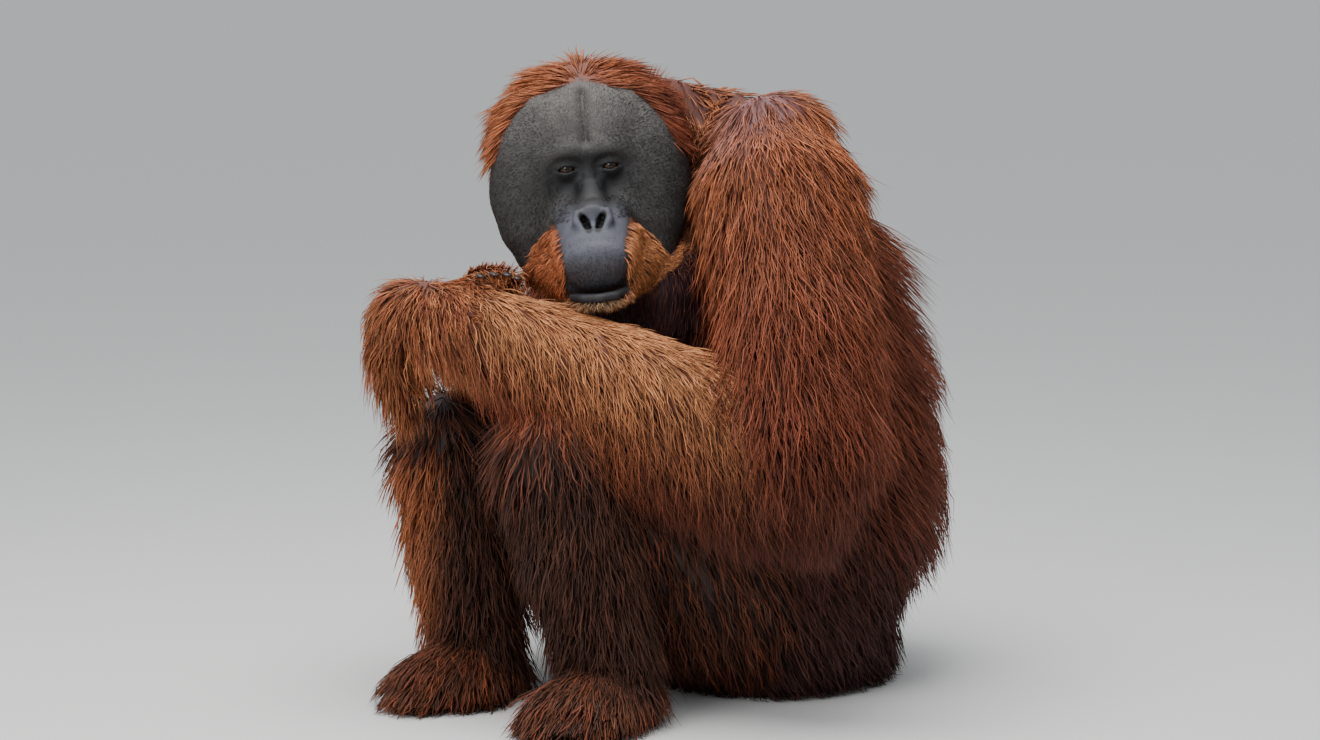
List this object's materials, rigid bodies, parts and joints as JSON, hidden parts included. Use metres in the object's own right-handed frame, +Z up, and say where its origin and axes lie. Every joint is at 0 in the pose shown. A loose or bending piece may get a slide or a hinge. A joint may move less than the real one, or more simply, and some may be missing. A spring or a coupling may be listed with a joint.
{
  "type": "orangutan",
  "caption": "Life-size still model of a seated adult male orangutan with broad cheek pads, knees drawn up and one forearm laid across them.",
  "frame": {"origin": "middle of the flat of the seat, on the floor", "axes": "+Z up, -Y towards the viewer that the face looks at, +X to that viewer's right; the chest faces 60 degrees round from -Y towards -X"},
  "size_m": [0.7474, 0.7443, 0.8313],
  "materials": {
    "hair_crown": "matte",
    "hair_back": "matte",
    "hair_arm": "matte",
    "hair_leg": "matte",
    "cheek_skin": "matte",
    "bare_skin": "satin",
    "eye": "gloss"
  },
  "bodies": {
    "root": {"head": "hair_crown", "cheek_pad_left": "cheek_skin", "cheek_pad_right": "cheek_skin", "ear_left": "bare_skin", "ear_right": "bare_skin", "eye_left": "eye", "eye_right": "eye", "throat_sac": "bare_skin", "neck": "hair_back", "torso": "hair_back", "upper_arm_left": "hair_arm", "upper_arm_right": "hair_arm", "forearm_left": "hair_arm", "forearm_right": "hair_arm", "hand_left": "hair_arm", "hand_right": "hair_arm", "thigh_left": "hair_leg", "thigh_right": "hair_leg", "lower_leg_left": "hair_leg", "lower_leg_right": "hair_leg", "foot_left": "hair_leg", "foot_right": "hair_leg"}
  },
  "joints": []
}
